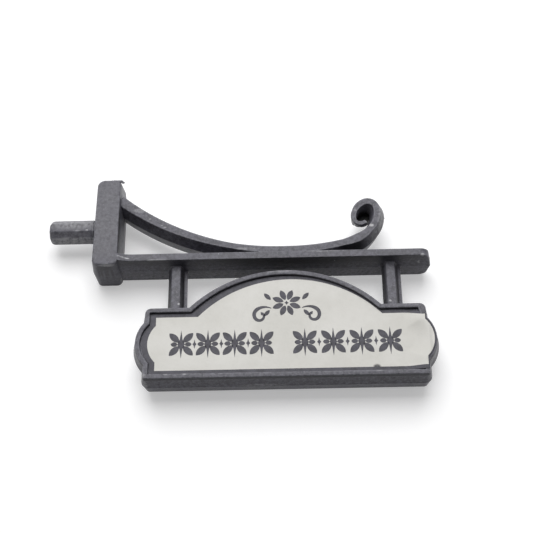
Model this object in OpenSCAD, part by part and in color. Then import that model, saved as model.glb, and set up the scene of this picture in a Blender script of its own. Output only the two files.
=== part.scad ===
// Bracket sign: a round peg plugs into a wall, a wall plate carries a beam and a scrolled
// brace, and two round posts hang an arched board with a raised rim and a printed label.
// Sizes are in millimetres. X runs out from the wall, Y runs back and Z runs up.
// The origin is where the axis of the peg meets the wall face of the plate.

/* [Wall peg] */
// Diameter of the peg that enters the wall
peg_d = 3.2; // [2.6:0.1:4]
// Length of the peg behind the plate
peg_len = 6.1; // [4:0.1:9]
// Radius of the rounded nose of the peg
peg_nose_r = 0.8; // [0.3:0.1:1.2]
// Diameter of the spigot that seats in the plate
spigot_d = 2; // [1.4:0.1:2.4]
// Length of the spigot
spigot_len = 2.4; // [1.5:0.1:2.6]

/* [Wall plate] */
// Thickness of the plate, out from the wall
plate_t = 3.7; // [3:0.1:5]
// Height of the plate
plate_h = 13; // [10.8:0.1:17]
// Width of the plate across the wall
plate_w = 6; // [5:0.1:8]
// How far the middle of the plate sits below the peg
plate_drop = 0.15; // [0:0.05:0.5]
// Radius of the corners seen from the front
plate_corner_r = 0.7; // [0.2:0.1:1.4]
// Bevel along the two long edges on the wall side
plate_bevel = 0.6; // [0.1:0.1:0.9]

/* [Beam] */
// Length of the beam past the right hanger post
beam_over = 5.15; // [2.5:0.05:9]
// Height of the beam
beam_h = 1.4; // [1.1:0.1:2.4]
// Width of the beam, front to back
beam_w = 5.3; // [4:0.1:7]
// Height of the middle of the beam above the foot of the plate
beam_up = 1.17; // [0.9:0.01:4]
// Radius of the corners of the free end, seen from above
beam_end_r = 0.9; // [0.2:0.1:1.8]
// Length of the tenon that enters the plate
tenon_len = 1.8; // [1:0.1:2.2]
// Width of the tenon
tenon_w = 3.4; // [2:0.1:3.8]
// Height of the tenon
tenon_h = 0.9; // [0.5:0.1:1]

/* [Scroll brace] */
// Width of the brace, front to back
brace_w = 4.2; // [3:0.1:5]
// How far the middle of the foot sits below the top of the plate
foot_drop = 2.98; // [2.4:0.01:4]
// Distance from the plate to the lowest point of the brace
belly_out = 21.6; // [18:0.1:26]
// Thickness of the bar at its foot
foot_t = 1.36; // [1:0.02:1.8]
// Thickness of the bar at its slimmest
waist_t = 0.86; // [0.6:0.02:1.2]
// Thickness of the bar where it sits on the beam
belly_t = 1.14; // [0.8:0.02:1.4]
// Thickness of the bar in the curl
curl_t = 1; // [0.7:0.02:1.1]
// Radius of the slow rise from the beam to the curl
rise_r = 30.5; // [24:0.5:40]
// Radius of the outer bend of the curl, to which its other bends keep their proportion
curl_r = 1.87; // [1.5:0.01:2.4]
// Thickness of the curl just before its tip
curl_neck_t = 0.4; // [0.3:0.02:0.6]
// Thickness of the rounded tip
curl_tip_t = 0.88; // [0.6:0.02:1.06]
// How deep the underside is let down to make a flat seat on the beam
belly_seat = 0.23; // [0.05:0.01:0.3]
// Length of the tongue that enters the plate
tongue_len = 1.8; // [1:0.1:2.2]
// Width of the tongue
tongue_w = 2.8; // [1.6:0.1:2.9]
// Height of the tongue
tongue_h = 1; // [0.6:0.1:1.1]

/* [Hanger posts] */
// Diameter of a post
post_d = 2.45; // [1.8:0.05:3]
// Distance from the plate to the axis of the left post
post_in = 7.45; // [5.8:0.05:12]
// Distance from a straight side of the board to the axis of a post
post_inset = 3.85; // [2:0.05:5]
// Depth of the socket in the beam
beam_socket = 0.9; // [0.6:0.05:1]
// Depth of the socket in the board
board_socket = 2; // [1.2:0.1:3]

/* [Board] */
// Width of the board between its straight sides, at the face
board_w = 35.3; // [29:0.1:43]
// Height of the board from foot to shoulder, at the face
board_h = 9.66; // [8:0.02:12]
// Thickness of the board, front to back
board_d = 4.2; // [3.4:0.1:5]
// Width of a shoulder, from the straight side to the foot of the arch
shoulder_w = 5.55; // [4.5:0.05:7]
// Height of the arch above the shoulders
arch_rise = 5.12; // [4:0.02:6.5]
// Gap between the top of the arch and the beam
arch_gap = 0.9; // [0.5:0.05:2]
// How far the side lobes stand out
lobe_out = 1.15; // [0.6:0.05:1.6]
// Height of a side lobe
lobe_h = 5.9; // [4.8:0.1:7]
// Radius of the shoulder corners
shoulder_r = 0.5; // [0.2:0.05:0.8]
// How much the edges swell from each face to the middle of the thickness
draft = 0.4; // [0.05:0.05:0.5]

/* [Rim] */
// Width of the raised rim at the face
rim_w = 0.8; // [0.5:0.05:1.1]
// Height of the rim above the field of the board
rim_h = 0.5; // [0.3:0.05:0.8]

/* [Label] */
// Margin between the label and the face outline of the board at the top and the foot
label_margin = 0.95; // [0.75:0.05:1.3]
// Margin between the label and the face outline of the board at each side
label_side = 0.55; // [0.45:0.05:1.3]
// How far the label was stuck on out of place, away from the wall
label_shift = 0.6; // [0.4:0.05:0.7]
// Thickness of the label
label_t = 0.1; // [0.06:0.02:0.16]
// Length of the end of the label that climbs over the rim
label_lap = 1.5; // [1:0.1:2]

/* [Fits] */
// Clearance round a part in its socket, on each side
seat_gap = 0.03; // [0.01:0.01:0.06]
// Clearance at the bottom of a socket
end_gap = 0.1; // [0.05:0.05:0.2]
// Clearance between the label and the inside of the rim
label_gap = 0.05; // [0.02:0.01:0.1]

/* [Hidden] */
$fn = 96;
plastic = "#77777f";
pale = "#cdccc7";
// Size of a block that cuts right through
far = 200;
// How far a cut or a piece runs on into its neighbour
bite = 0.4;
// Smallest corner radius of an outline
least_r = 0.05;
lobe_steps = 12;
arch_steps = 48;
corner_steps = 6;
tip_steps = 8;

plate_top = plate_h / 2 - plate_drop;
beam_z = plate_top - plate_h + beam_up;
beam_top = beam_z + beam_h / 2;
beam_bottom = beam_z - beam_h / 2;
post_spacing = board_w - 2 * post_inset;
beam_len = post_in + post_spacing + beam_over;
board_out = plate_t + post_in + post_spacing / 2;
board_z = beam_bottom - arch_gap - draft - arch_rise - board_h / 2;
board_face = -board_d / 2;
field_y = board_face + rim_h;
field_grow = draft * rim_h / (board_d / 2);
arch_half = board_w / 2 - shoulder_w;
arch_r = (arch_half * arch_half + arch_rise * arch_rise) / (2 * arch_rise);
post_foot = board_z + board_h / 2 + draft - board_socket;
lap_x = board_w / 2 - rim_w - label_lap / 2;

foot_z = plate_top - foot_drop;
belly_z = beam_top - belly_seat + belly_t / 2;
foot_angle = 2 * atan((foot_z - belly_z) / belly_out);
foot_r = belly_out / sin(foot_angle);
foot_share = 0.35;
foot_steps = 8;
// Angle from the end of the bar to each end of its rounded tip
tip_half_angle = 75;

// Centre line of the brace as a chain of arcs: radius, sweep, thickness at the end, steps.
// The first three slim the foot, keep its waist and swell it to the belly on the beam.
runs = [
    [foot_r, foot_angle * foot_share, (foot_t + waist_t) / 2, foot_steps],
    [foot_r, foot_angle * foot_share, waist_t, foot_steps],
    [foot_r, foot_angle * (1 - 2 * foot_share), belly_t, foot_steps],
    [rise_r, 14, curl_t, 6],
    [curl_r * 5.08, 12.5, curl_t * 1.25, 4],
    [curl_r * 2.87, 22.5, curl_t * 0.9, 6],
    [curl_r * 2.21, 39, curl_t * 0.92, 9],
    [curl_r, 30, curl_t * 1.04, 8],
    [curl_r * 0.594, 82, curl_t * 1.08, 14],
    [curl_r * 1.2, 87, curl_neck_t, 14],
    [curl_r * 0.47, 16, (curl_neck_t + curl_tip_t) / 2, 3],
    [curl_r * 0.385, 81, curl_tip_t, 12]
];

function arc(centre, r, from, to, steps) = [
    for (i = [0:steps])
        let (a = from + (to - from) * i / steps)
        centre + r * [cos(a), sin(a)]
];

// Heading, start and any point of one arc of the brace
function run_heading(i) = i == 0 ? -foot_angle : run_heading(i - 1) + runs[i - 1][1];
function run_start(i) = i == 0 ? [plate_t, foot_z] : run_point(i - 1, 1);
function run_point(i, part) =
    let (from = run_heading(i), to = from + runs[i][1] * part)
    run_start(i) + runs[i][0] * [sin(to) - sin(from), cos(from) - cos(to)];
function run_width(i, part) =
    let (before = i == 0 ? foot_t : runs[i - 1][2])
    before + (runs[i][2] - before) * part;

// Points along one side of the brace: side is 1 above the centre line and -1 below it
function run_side(side) = [
    for (i = [0:len(runs) - 1])
        for (k = [0:runs[i][3]])
            if (k > 0 || i == 0)
                let (part = k / runs[i][3], a = run_heading(i) + runs[i][1] * part)
                run_point(i, part) + side * run_width(i, part) / 2 * [-sin(a), cos(a)]
];
function backwards(points) = [for (i = [len(points) - 1:-1:0]) points[i]];

function brace_outline() =
    let (
        last = len(runs) - 1,
        tip_a = run_heading(last) + runs[last][1],
        back = bite * [-cos(foot_angle), sin(foot_angle)],
        upper = run_side(1),
        lower = run_side(-1),
        tip = arc(run_point(last, 1), curl_tip_t / 2, tip_a + tip_half_angle, tip_a - tip_half_angle,
                  tip_steps)
    )
    concat([upper[0] + back], upper, tip, backwards(lower), [lower[0] + back]);

// Outline of a board with an arched top and a round lobe on each side, about its own middle.
// It starts at the middle of the foot, which sees every other point.
function plaque(w, h, lobe, lobe_tall, radius, rise, corner, grow) =
    let (
        half_w = w / 2 + grow,
        half_h = h / 2 + grow,
        lobe_r = (lobe_tall * lobe_tall / 4 + lobe * lobe) / (2 * lobe),
        lobe_x = w / 2 + lobe - lobe_r,
        lobe_a = acos((half_w - lobe_x) / (lobe_r + grow)),
        arch_z = h / 2 + rise - radius,
        arch_a = acos((half_h - arch_z) / (radius + grow)),
        r = max(corner + grow, least_r),
        right = [half_w - r, half_h - r],
        left = [r - half_w, half_h - r]
    )
    concat(
        [[0, -half_h], [half_w, -half_h]],
        arc([lobe_x, 0], lobe_r + grow, -lobe_a, lobe_a, lobe_steps),
        arc(right, r, 0, 90, corner_steps),
        arc([0, arch_z], radius + grow, 90 - arch_a, 90 + arch_a, arch_steps),
        arc(left, r, 90, 180, corner_steps),
        arc([-lobe_x, 0], lobe_r + grow, 180 - lobe_a, 180 + lobe_a, lobe_steps),
        [[-half_w, -half_h]]
    );
function board_outline(grow) =
    plaque(board_w, board_h, lobe_out, lobe_h, arch_r, arch_rise, shoulder_r, grow);
// The label keeps label_margin all round, but is wider, so that its sides keep label_side
function label_outline() =
    plaque(board_w + 2 * (label_margin - label_side), board_h, lobe_out, lobe_h, arch_r, arch_rise, 0,
           -label_margin);

// Stretches an outline in X and Z from one depth to the next. Its ends are fans of triangles
// about the first point of the outline.
module loft(rings, depths) {
    n = len(rings[0]);
    last = len(rings) - 1;
    points = [for (k = [0:last]) for (p = rings[k]) [p[0], depths[k], p[1]]];
    front = [for (i = [1:n - 2]) [0, i + 1, i]];
    rear = [for (i = [1:n - 2]) [last * n, last * n + i, last * n + i + 1]];
    low = [for (k = [0:last - 1]) for (i = [0:n - 1]) [k * n + i, k * n + (i + 1) % n, (k + 1) * n + i]];
    high = [
        for (k = [0:last - 1])
            for (i = [0:n - 1])
                [k * n + (i + 1) % n, (k + 1) * n + (i + 1) % n, (k + 1) * n + i]
    ];
    polyhedron(points, concat(front, rear, low, high));
}

// Extrudes a flat shape drawn in X and Z between two depths
module slab(from, to) {
    translate([0, to, 0])
    rotate([90, 0, 0])
    linear_extrude(to - from)
    children();
}

// Rectangle with a round on each corner, placed by its lower left corner
module round_rect(w, h, r) {
    translate([r, 0]) square([w - 2 * r, h]);
    translate([0, r]) square([w, h - 2 * r]);
    for (x = [r, w - r], y = [r, h - r])
        translate([x, y]) circle(r);
}

// Box centred on Y and Z that starts at x
module bar(x, length, width, height) {
    translate([x, -width / 2, -height / 2]) cube([length, width, height]);
}

module at_board() {
    translate([board_out, 0, board_z]) children();
}

module post_socket(x, z, depth) {
    translate([board_out + x, 0, z]) cylinder(h = depth, d = post_d + 2 * seat_gap);
}

module wall_peg() {
    color(plastic)
    rotate([0, -90, 0])
    rotate_extrude() {
        square([peg_d / 2 - peg_nose_r, peg_len]);
        square([peg_d / 2, peg_len - peg_nose_r]);
        translate([peg_d / 2 - peg_nose_r, peg_len - peg_nose_r])
            intersection() {
                circle(peg_nose_r);
                square(peg_nose_r);
            }
        translate([0, -spigot_len]) square([spigot_d / 2, spigot_len + bite]);
    }
}

module wall_plate() {
    color(plastic)
    difference() {
        intersection() {
            translate([0, 0, plate_top - plate_h])
                slab(-plate_w / 2, plate_w / 2)
                round_rect(plate_t, plate_h, plate_corner_r);
            translate([0, 0, -far / 2])
                linear_extrude(far)
                polygon([
                    [0, plate_bevel - plate_w / 2],
                    [plate_bevel, -plate_w / 2],
                    [plate_t, -plate_w / 2],
                    [plate_t, plate_w / 2],
                    [plate_bevel, plate_w / 2],
                    [0, plate_w / 2 - plate_bevel]
                ]);
        }
        rotate([0, 90, 0])
            translate([0, 0, -bite])
            cylinder(h = spigot_len + end_gap + bite, d = spigot_d + 2 * seat_gap);
        translate([plate_t - tenon_len - end_gap, 0, beam_z])
            bar(0, tenon_len + end_gap + bite, tenon_w + 2 * seat_gap, tenon_h + 2 * seat_gap);
        translate([plate_t - tongue_len - end_gap, 0, foot_z])
            bar(0, tongue_len + end_gap + bite, tongue_w + 2 * seat_gap, tongue_h + 2 * seat_gap);
    }
}

module beam() {
    color(plastic)
    difference() {
        union() {
            intersection() {
                translate([plate_t - beam_end_r, -beam_w / 2, beam_bottom])
                    linear_extrude(beam_h)
                    round_rect(beam_len + beam_end_r, beam_w, beam_end_r);
                translate([plate_t, 0, 0]) bar(0, far, far, far);
            }
            translate([0, 0, beam_z])
                bar(plate_t - tenon_len, tenon_len + bite, tenon_w, tenon_h);
        }
        for (side = [-1, 1])
            post_socket(side * post_spacing / 2, beam_bottom - bite, beam_socket + bite);
    }
}

module scroll_brace() {
    color(plastic)
    union() {
        difference() {
            slab(-brace_w / 2, brace_w / 2) polygon(brace_outline());
            translate([plate_t - far, -far / 2, -far / 2]) cube(far);
            translate([0, -far / 2, beam_top - far]) cube(far);
        }
        translate([0, 0, foot_z])
            bar(plate_t - tongue_len, tongue_len + bite, tongue_w, tongue_h);
    }
}

module hanger_post(side) {
    color(plastic)
    translate([board_out + side * post_spacing / 2, 0, post_foot + end_gap])
    cylinder(h = beam_bottom + beam_socket - post_foot - 2 * end_gap, d = post_d);
}

module sign_board() {
    color(plastic)
    difference() {
        at_board()
            loft([board_outline(field_grow), board_outline(draft), board_outline(0)],
                 [field_y, 0, board_d / 2]);
        for (side = [-1, 1])
            post_socket(side * post_spacing / 2, post_foot, beam_bottom - post_foot);
    }
}

module board_rim() {
    color(plastic)
    at_board()
    difference() {
        loft([board_outline(0), board_outline(field_grow)], [board_face, field_y]);
        slab(board_face - bite, field_y + bite) polygon(board_outline(-rim_w));
    }
}

module label_sheet() {
    translate([label_shift, 0]) polygon(label_outline());
}

// The right end of the label outside the flat part, out to a given edge
module label_end(edge) {
    intersection() {
        label_sheet();
        difference() {
            polygon(board_outline(edge));
            polygon(board_outline(-rim_w - label_gap - label_t));
        }
        translate([lap_x, -far / 2]) square(far);
    }
}

module label() {
    color(pale)
    at_board() {
        // The flat part on the field of the board
        slab(field_y - label_t, field_y)
            intersection() {
                label_sheet();
                polygon(board_outline(-rim_w - label_gap));
            }
        // The end that climbs the inside of the rim, then the end that lies on its face
        slab(board_face - label_t, field_y) label_end(-rim_w - label_gap);
        slab(board_face - label_t, board_face) label_end(-label_gap);
    }
}

wall_peg();
wall_plate();
beam();
scroll_brace();
hanger_post(-1);  // hanger_post_left
hanger_post(1);  // hanger_post_right
sign_board();
board_rim();
label();
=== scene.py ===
"""A miniature hanging trade sign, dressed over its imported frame.

A peg plugs a plate into the wall. The plate carries a beam and a scrolled brace, and two posts hang an
arched board with a raised rim and a printed film. The sign lies on its back on a pale table.
Sizes are millimetres and turn into metres where a piece is made. X runs out from the wall, Y runs to the
back and Z runs up.
"""

import logging
import math
from collections.abc import Callable, Sequence
from dataclasses import dataclass, replace
from enum import Enum

import bmesh
import bpy
from mathutils import Matrix, Vector


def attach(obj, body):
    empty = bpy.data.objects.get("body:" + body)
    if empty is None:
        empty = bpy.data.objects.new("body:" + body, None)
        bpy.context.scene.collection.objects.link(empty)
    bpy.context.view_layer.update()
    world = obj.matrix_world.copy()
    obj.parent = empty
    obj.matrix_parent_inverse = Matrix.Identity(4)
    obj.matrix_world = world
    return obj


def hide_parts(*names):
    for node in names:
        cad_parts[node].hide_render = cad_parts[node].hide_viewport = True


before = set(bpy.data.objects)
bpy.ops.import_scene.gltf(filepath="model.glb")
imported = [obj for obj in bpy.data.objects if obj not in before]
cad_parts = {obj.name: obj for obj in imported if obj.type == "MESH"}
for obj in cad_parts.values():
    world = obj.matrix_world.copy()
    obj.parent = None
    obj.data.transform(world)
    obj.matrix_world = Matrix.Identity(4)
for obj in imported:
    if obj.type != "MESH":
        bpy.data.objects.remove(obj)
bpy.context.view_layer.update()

MM = 0.001
BODY = "root"

# Millimetres: points nearer than DOUBLE are one point, and ends of strokes nearer than JOIN are one end
DOUBLE = 0.0005
JOIN = 0.002
# Least radius of a corner, and half the width of the strip along the line where the mould halves met
LEAST_CORNER = 0.05
PARTING = 0.12
# How far a burr's points are shaken, as a share of its least size
CRUMB_ROUGH = 0.16
# Refraction of plastic, film and ink
IOR = 1.46

Point = tuple[float, float]
Place = tuple[float, float, float]
Colour = tuple[float, float, float]
Noise = tuple[float, float, float]
Test = Callable[[Vector, Vector], bool]
Socket = bpy.types.NodeSocket
log = logging.getLogger("trade_sign")


def metres(*lengths: float) -> tuple[float, ...]:
    """Turns millimetres into metres."""
    return tuple(length * MM for length in lengths)


class Slot(Enum):
    """Finishes that the record names."""

    PLASTIC = "charcoal_plastic"
    FILM = "label_film"


class Kind(Enum):
    """What a selection on the bench is made of."""

    VERTS = (True, False, False)
    EDGES = (False, True, False)
    FACES = (False, False, True)


@dataclass(frozen=True)
class Bend:
    """One arc of a swept bar. It turns left, as seen from the front, unless radius and turn are negative.

    radius is that of its centre line, turn its angle in degrees, thick the thickness at its end, bulge how
    far its sides swell there at mid-depth, and back the depth of its rear edge there.
    """

    radius: float
    turn: float
    thick: float
    steps: int = 8
    bulge: float = 0.0
    back: float = 0.0


@dataclass(frozen=True)
class Measures:
    """Sizes of one ring of a board's outline: half sizes, corner radii, lobes and arch.

    Of each arc it holds the radius, the centre, the half angle in degrees and half the width of its mouth.
    """

    half_w: float
    half_h: float
    corner: float
    foot: float
    lobe: float
    lobe_x: float
    lobe_angle: float
    lobe_side: float
    arch: float
    arch_z: float
    arch_angle: float
    arch_side: float


@dataclass(frozen=True)
class Plaque:
    """Outline of an arched board with a round lobe on each side, about its own middle."""

    width: float
    height: float
    lobe_out: float
    lobe_tall: float
    arch_radius: float
    arch_rise: float
    corner: float
    foot_corner: float
    centre: Point
    lobe_steps: int = 20
    arch_steps: int = 64
    corner_steps: int = 5

    def measures(self, grow: float) -> Measures:
        """Works out one concentric outline.

        Args:
            grow: how far it lies outside the given sizes.

        Returns:
            Its measures, about its own middle.
        """
        own_lobe = (self.lobe_tall**2 / 4 + self.lobe_out**2) / (2 * self.lobe_out)
        lobe, arch = own_lobe + grow, self.arch_radius + grow
        lobe_x = self.width / 2 + self.lobe_out - own_lobe
        arch_z = self.height / 2 + self.arch_rise - self.arch_radius
        half_w, half_h = self.width / 2 + grow, self.height / 2 + grow
        lobe_angle = math.degrees(math.acos((half_w - lobe_x) / lobe))
        arch_angle = math.degrees(math.acos((half_h - arch_z) / arch))
        return Measures(
            half_w=half_w,
            half_h=half_h,
            corner=max(self.corner + grow, LEAST_CORNER),
            foot=max(self.foot_corner + grow, LEAST_CORNER),
            lobe=lobe,
            lobe_x=lobe_x,
            lobe_angle=lobe_angle,
            lobe_side=lobe * math.sin(math.radians(lobe_angle)),
            arch=arch,
            arch_z=arch_z,
            arch_angle=arch_angle,
            arch_side=arch * math.sin(math.radians(arch_angle)),
        )


BOARD = Plaque(
    width=35.3,
    height=9.66,
    lobe_out=1.15,
    lobe_tall=5.9,
    arch_radius=16.857,
    arch_rise=5.12,
    corner=0.72,
    foot_corner=0.22,
    centre=(24.95, -17.43),
)


class Blank:
    """A piece on the bench, and the hand tools that shape it. The bench works in millimetres."""

    def __init__(self, name: str) -> None:
        """Clears the bench for a new piece.

        Args:
            name: what the finished piece is called.
        """
        self.name = name
        self.obj: bpy.types.Object | None = None
        self.pen: Point = (0.0, 0.0)
        self.heading = 0.0
        self.rings = 0

    def start(self) -> None:
        """Takes the new primitive as this piece and opens it in edit mode, all of it selected."""
        self.obj = bpy.context.object
        self.obj.name = self.obj.data.name = self.name
        bpy.ops.object.transform_apply(location=True, rotation=True, scale=True)
        bpy.ops.object.mode_set(mode="EDIT")
        bpy.ops.mesh.select_mode(type="VERT")
        self.pick_all()

    def use(self, kind: Kind) -> None:
        """Selects points, edges or faces from here on."""
        bpy.context.tool_settings.mesh_select_mode = kind.value

    def pick_all(self) -> None:
        """Selects the whole piece."""
        bpy.ops.mesh.select_all(action="SELECT")

    def show(self, mesh: bmesh.types.BMesh) -> None:
        """Carries a selection made by hand over to the edges and faces that it holds."""
        mesh.select_flush_mode()
        bmesh.update_edit_mesh(self.obj.data)

    def clear(self) -> None:
        """Selects nothing."""
        if self.obj is None:
            bpy.ops.object.select_all(action="DESELECT")
        else:
            bpy.ops.mesh.select_all(action="DESELECT")

    def block(self, low: Place, high: Place) -> None:
        """Starts from a block between two corners."""
        self.clear()
        middle = [(a + b) / 2 for a, b in zip(low, high)]
        size = [b - a for a, b in zip(low, high)]
        bpy.ops.mesh.primitive_cube_add(size=1, location=middle, scale=size)
        self.start()

    def dot(self, x: float, y: float, z: float) -> None:
        """Sets the pen down, as one loose point."""
        self.clear()
        self.use(Kind.VERTS)
        bpy.ops.mesh.primitive_plane_add(size=1, location=(x, y, z))
        if self.obj is None:
            self.start()
        bpy.ops.mesh.merge(type="CENTER")
        self.pen = (x, z)

    def line(self, x: float, z: float) -> None:
        """Draws a straight stroke to a point at the same depth."""
        step = (x - self.pen[0], 0, z - self.pen[1])
        bpy.ops.mesh.extrude_region_move(TRANSFORM_OT_translate={"value": step})
        self.pen = (x, z)

    def arc(self, x: float, z: float, turn: float, steps: int) -> None:
        """Draws an arc about a centre.

        Args:
            x, z: centre of the arc.
            turn: degrees, anticlockwise as seen from the front.
            steps: straight parts it is made of.
        """
        self.spin((x, 0, z), (0, 1, 0), turn, steps)
        a = math.radians(turn)
        dx, dz = self.pen[0] - x, self.pen[1] - z
        self.pen = (x + dx * math.cos(a) - dz * math.sin(a), z + dx * math.sin(a) + dz * math.cos(a))

    def spin(self, centre: Place, axis: Place, turn: float, steps: int) -> None:
        """Sweeps what is selected round an axis, in degrees."""
        bpy.ops.mesh.spin(steps=steps, angle=math.radians(turn), center=centre, axis=axis)

    def mesh(self) -> bmesh.types.BMesh:
        """Returns the open mesh."""
        return bmesh.from_edit_mesh(self.obj.data)

    def pick(self, kind: Kind, test: Test) -> None:
        """Selects by place and direction only.

        Args:
            kind: what to select.
            test: takes the middle in millimetres and the normal, or the direction of an edge.
        """
        self.clear()
        self.use(kind)
        mesh, world = self.mesh(), self.obj.matrix_world
        if kind is Kind.VERTS:
            found = [(v, v.co, v.normal) for v in mesh.verts]
        elif kind is Kind.EDGES:
            found = [
                (e, (e.verts[0].co + e.verts[1].co) / 2, (e.verts[1].co - e.verts[0].co).normalized())
                for e in mesh.edges
            ]
        else:
            found = [(f, f.calc_center_median(), f.normal) for f in mesh.faces]
        for part, middle, direction in found:
            if test(world @ middle, direction):
                part.select_set(True)
        self.show(mesh)

    def layer(self, mesh: bmesh.types.BMesh, name: str) -> bmesh.types.BMLayerItem:
        """Returns the whole numbers that the points carry under a name, 0 where none was given."""
        return mesh.verts.layers.int.get(name) or mesh.verts.layers.int.new(name)

    def number_ring(self) -> None:
        """Gives every new point the number of the next ring."""
        mesh = self.mesh()
        layer = self.layer(mesh, "ring")
        self.rings += 1
        for vert in mesh.verts:
            if vert[layer] == 0:
                vert[layer] = self.rings

    def pick_new(self) -> None:
        """Selects every point drawn since the last numbered ring."""
        mesh = self.mesh()
        layer = self.layer(mesh, "ring")
        self.clear()
        self.use(Kind.VERTS)
        for vert in mesh.verts:
            if vert[layer] == 0:
                vert.select_set(True)
        self.show(mesh)

    def pick_rings(self, *numbers: int) -> None:
        """Selects whole rings by number, and the edges within each."""
        self.clear()
        self.use(Kind.EDGES)
        mesh = self.mesh()
        layer = self.layer(mesh, "ring")
        for edge in mesh.edges:
            a, b = (vert[layer] for vert in edge.verts)
            if a == b and a in numbers:
                edge.select_set(True)
        bmesh.update_edit_mesh(self.obj.data)

    def join_ends(self) -> None:
        """Closes the ring just drawn, whose two ends have one edge each."""
        mesh = self.mesh()
        layer = mesh.verts.layers.int.get("ring")
        self.clear()
        self.use(Kind.VERTS)
        for vert in mesh.verts:
            if (layer is None or vert[layer] == 0) and len(vert.link_edges) == 1:
                vert.select_set(True)
        bmesh.update_edit_mesh(self.obj.data)
        bpy.ops.mesh.edge_face_add()

    def draw_corner(self, outline: Plaque, m: Measures, across: int, up: int) -> None:
        """Draws on to a corner and round it: across is 1 on the right, and up is 1 at the top."""
        radius = m.corner if up > 0 else m.foot
        x, z = outline.centre[0] + across * m.half_w, outline.centre[1] + up * m.half_h
        turn_x, turn_z = x - across * radius, z - up * radius
        self.line(*((x, turn_z) if across == up else (turn_x, z)))
        self.arc(turn_x, turn_z, 90, outline.corner_steps)

    def draw_lobe(self, outline: Plaque, m: Measures, across: int) -> None:
        """Draws on to a lobe and round it: across is 1 on the right."""
        x, z = outline.centre
        self.line(x + across * m.half_w, z - across * m.lobe_side)
        self.arc(x + across * m.lobe_x, z, 2 * m.lobe_angle, outline.lobe_steps)

    def draw_arch(self, outline: Plaque, m: Measures) -> None:
        """Draws on to the right end of the arch and over it."""
        x, z = outline.centre
        self.line(x + m.arch_side, z + m.half_h)
        self.arc(x, z + m.arch_z, 2 * m.arch_angle, outline.arch_steps)

    def draw_plaque(self, outline: Plaque, grow: float, depth: float) -> None:
        """Draws one closed ring of a board's outline, anticlockwise from the middle of its foot."""
        m = outline.measures(grow)
        self.dot(outline.centre[0], depth, outline.centre[1] - m.half_h)
        self.draw_corner(outline, m, 1, -1)
        self.draw_lobe(outline, m, 1)
        self.draw_corner(outline, m, 1, 1)
        self.draw_arch(outline, m)
        self.draw_corner(outline, m, -1, 1)
        self.draw_lobe(outline, m, -1)
        self.draw_corner(outline, m, -1, -1)
        self.join_ends()
        self.number_ring()

    def loft(self, outline: Plaque, rungs: Sequence[Point], hollow: bool) -> None:
        """Draws an outline at each rung and bridges the rings in order.

        Args:
            outline: shape of every ring.
            rungs: depth and growth of each ring.
            hollow: bridges the last ring back to the first, in place of filling both.
        """
        first = self.rings + 1
        for depth, grow in rungs:
            self.draw_plaque(outline, grow, depth)
        last = self.rings
        self.bridge(first, last)
        if hollow:
            self.pick_rings(first, last)
            bpy.ops.mesh.bridge_edge_loops()
        else:
            for number in (first, last):
                self.pick_rings(number)
                bpy.ops.mesh.edge_face_add()

    def bridge(self, first: int, last: int) -> None:
        """Bridges each ring from the first to the last with the next one."""
        for number in range(first, last):
            self.pick_rings(number, number + 1)
            bpy.ops.mesh.bridge_edge_loops()

    def extrude(self, x: float, y: float, z: float) -> None:
        """Extrudes what is selected."""
        bpy.ops.mesh.extrude_region_move(TRANSFORM_OT_translate={"value": (x, y, z)})

    def move(self, x: float, y: float, z: float) -> None:
        """Moves what is selected."""
        bpy.ops.transform.translate(value=(x, y, z))

    def resize(self, scale: Place, centre: Place) -> None:
        """Scales what is selected about a point."""
        bpy.ops.transform.resize(value=scale, center_override=centre)

    def cut(self, place: Place, normal: Place) -> None:
        """Cuts the whole piece by a plane, which leaves a loop of edges."""
        self.pick_all()
        bpy.ops.mesh.bisect(plane_co=place, plane_no=normal)

    def cut_parting(self) -> None:
        """Cuts the line at mid-depth where the mould halves met, and one on each side of it."""
        for depth in (-PARTING, 0.0, PARTING):
            self.cut((0, depth, 0), (0, 1, 0))

    def bevel(self, width: float, segments: int) -> None:
        """Rounds the selected edges."""
        bpy.ops.mesh.bevel(offset=width, segments=segments, profile=0.5, affect="EDGES")

    def bevel_sharp(self, width: float, segments: int, angle: float = 40) -> None:
        """Rounds every edge sharper than an angle in degrees."""
        self.clear()
        bpy.ops.mesh.select_mode(type="EDGE")
        bpy.ops.mesh.edges_select_sharp(sharpness=math.radians(angle))
        self.bevel(width, segments)

    def eight_sided(self, radius: float, soft: float, place: Place) -> None:
        """Starts from a filled eight-sided section across X, rounded and with one flat side to the front.

        Args:
            radius: from the axis to the corners, before they are rounded.
            soft: how far along the sides the rounding starts.
            place: where the axis meets the section.
        """
        self.clear()
        bpy.ops.mesh.primitive_circle_add(
            vertices=8,
            radius=radius,
            fill_type="NGON",
            location=place,
            rotation=(0, math.radians(90), 0),
        )
        self.start()
        bpy.ops.transform.rotate(value=math.radians(22.5), orient_axis="X", center_override=place)
        bpy.ops.mesh.bevel(offset=soft, segments=3, affect="VERTICES")
        self.pick_all()

    def section(self, points: Sequence[Point], height: float, soft: float) -> None:
        """Starts from a filled level section.

        Args:
            points: X and Y of its corners, in order.
            height: where it lies.
            soft: how far along the sides the rounding of the corners starts.
        """
        self.dot(*points[0], height)
        for (x0, y0), (x1, y1) in zip(points, points[1:]):
            self.extrude(x1 - x0, y1 - y0, 0)
        self.join_ends()
        self.pick_all()
        bpy.ops.mesh.edge_face_add()
        bpy.ops.mesh.bevel(offset=soft, segments=2, affect="VERTICES")
        self.pick_all()

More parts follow.
